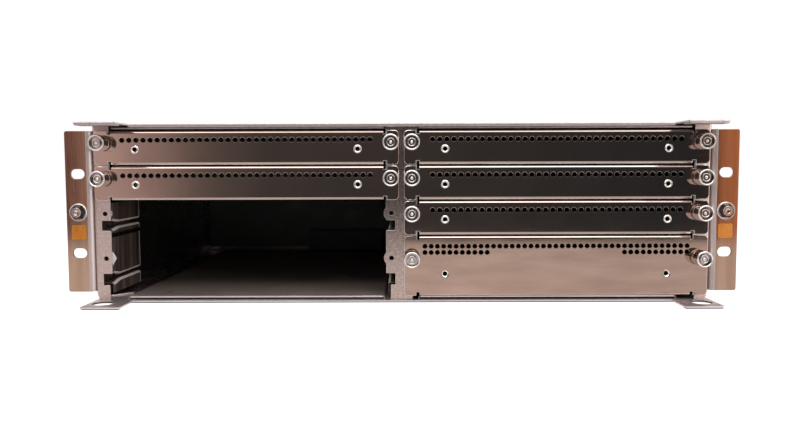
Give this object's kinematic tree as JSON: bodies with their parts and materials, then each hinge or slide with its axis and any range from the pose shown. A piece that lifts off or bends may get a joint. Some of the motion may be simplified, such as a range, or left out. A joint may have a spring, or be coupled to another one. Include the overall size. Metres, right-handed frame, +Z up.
{
  "type": "subrack card cage",
  "caption": "Low rack-mount card cage of folded bright sheet, with ears, perforated blank panels held by captive thumb screws, card guides and an open bay.",
  "frame": {"origin": "centre of the four rack slots, on the rear face of the ears that seats on the rack's rails", "axes": "+X to the right seen from the front, +Y from the front to the back, +Z up"},
  "size_m": [0.4826, 0.328, 0.1284],
  "materials": {
    "shell_sheet": "bright plated sheet, satin on the posts",
    "panel_sheet": "near mirror, with faint lengthwise scratches",
    "ear_sheet": "bright plated, warm reflection",
    "guide_sheet": "plated sheet",
    "bright_hardware": "bright nickel",
    "socket_plastic": "moulded, matte",
    "board_green": "solder mask"
  },
  "bodies": {
    "root": {"backplane": "board_green", "backplane_standoffs": "bright_hardware", "base_plate": "shell_sheet", "captive_screws": "bright_hardware", "centre_divider": "shell_sheet", "centre_post": "shell_sheet", "left_bonding_jack": "bright_hardware", "left_ceiling_liner": "shell_sheet", "left_centre_guide_1": "guide_sheet", "left_centre_guide_2": "guide_sheet", "left_centre_guide_3": "guide_sheet", "left_centre_guide_4": "guide_sheet", "left_connector_1": "socket_plastic", "left_connector_2": "socket_plastic", "left_connector_3": "socket_plastic", "left_connector_4": "socket_plastic", "left_floor_liner": "shell_sheet", "left_panel_1": "panel_sheet", "left_panel_2": "panel_sheet", "left_rack_ear": "ear_sheet", "left_side_wall": "shell_sheet", "left_wall_guide_1": "guide_sheet", "left_wall_guide_2": "guide_sheet", "left_wall_guide_3": "guide_sheet", "left_wall_guide_4": "guide_sheet", "rear_wall": "shell_sheet", "right_bonding_jack": "bright_hardware", "right_ceiling_liner": "shell_sheet", "right_centre_guide_1": "guide_sheet", "right_centre_guide_2": "guide_sheet", "right_centre_guide_3": "guide_sheet", "right_centre_guide_4": "guide_sheet", "right_connector_1": "socket_plastic", "right_connector_2": "socket_plastic", "right_connector_3": "socket_plastic", "right_connector_4": "socket_plastic", "right_floor_liner": "shell_sheet", "right_panel_1": "panel_sheet", "right_panel_2": "panel_sheet", "right_panel_3": "panel_sheet", "right_panel_4": "panel_sheet", "right_rack_ear": "ear_sheet", "right_side_wall": "shell_sheet", "right_wall_guide_1": "guide_sheet", "right_wall_guide_2": "guide_sheet", "right_wall_guide_3": "guide_sheet", "right_wall_guide_4": "guide_sheet", "screw_knobs": "bright_hardware", "top_cover": "shell_sheet"}
  },
  "joints": []
}
